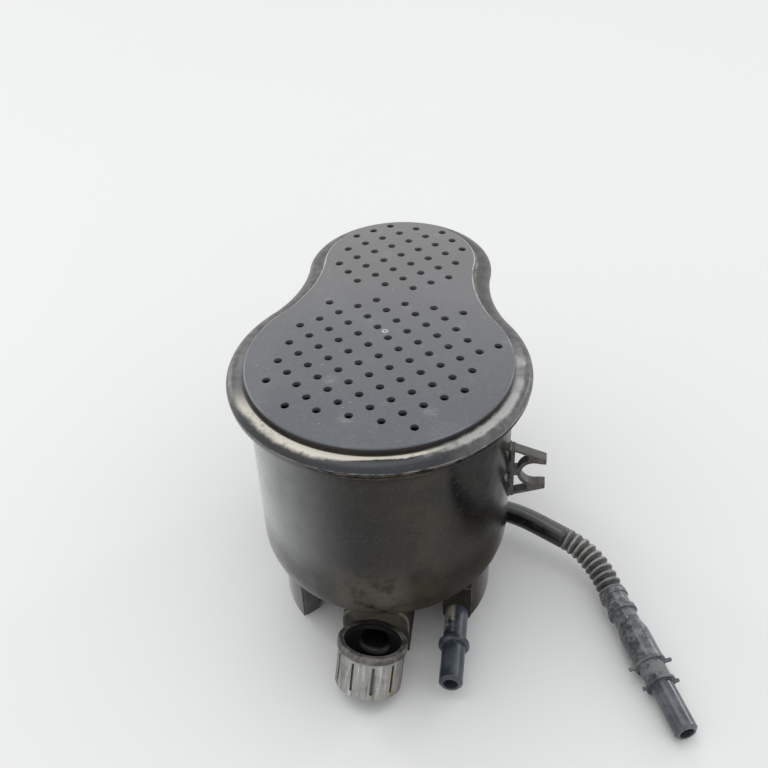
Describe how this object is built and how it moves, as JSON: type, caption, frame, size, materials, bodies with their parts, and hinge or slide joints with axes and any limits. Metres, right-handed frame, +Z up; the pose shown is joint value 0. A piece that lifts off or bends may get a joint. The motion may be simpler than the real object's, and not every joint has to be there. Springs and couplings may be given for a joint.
{
  "type": "charcoal canister",
  "caption": "Two-lobed plastic fuel-vapour canister with a perforated lid, carbon beds inside, an upright vent socket, a purge nipple, a hose clip and a short corrugated hose.",
  "frame": {"origin": "on the large lobe's axis, at the foot of the skirt that the canister stands on", "axes": "+Z up through the perforated lid, +Y from the large lobe towards the small lobe, +X towards the hose clip"},
  "size_m": [0.1945, 0.1992, 0.1246],
  "materials": {
    "body_plastic": "satin black with brown dust",
    "lid_plastic": "matte dark grey with scuffs and dust",
    "spring_steel": "drawn wire",
    "grid_plastic": "natural moulded",
    "fleece": "needled fleece",
    "carbon": "pelleted carbon",
    "socket_plastic": "dusty black",
    "seal_rubber": "moulded rubber",
    "pipe_plastic": "smooth slate black",
    "hose_plastic": "satin black",
    "cuff_plastic": "dusty black",
    "coupling_plastic": "dusty black",
    "clip_plastic": "dusty black"
  },
  "bodies": {
    "root": {"canister_body": "body_plastic", "perforated_lid": "lid_plastic", "spring_large": "spring_steel", "spring_small": "spring_steel", "pressure_grid_large": "grid_plastic", "pressure_grid_small": "grid_plastic", "upper_fleece_large": "fleece", "upper_fleece_small": "fleece", "carbon_bed_large": "carbon", "carbon_bed_small": "carbon", "lower_fleece_large": "fleece", "lower_fleece_small": "fleece", "support_grid_large": "grid_plastic", "support_grid_small": "grid_plastic", "vent_socket": "socket_plastic", "vent_seal": "seal_rubber", "purge_nipple": "pipe_plastic", "hose_stub": "pipe_plastic", "vapour_hose": "hose_plastic", "hose_cuff": "cuff_plastic", "coupling_body": "coupling_plastic", "coupling_spigot": "pipe_plastic", "hose_clip": "clip_plastic"}
  },
  "joints": []
}
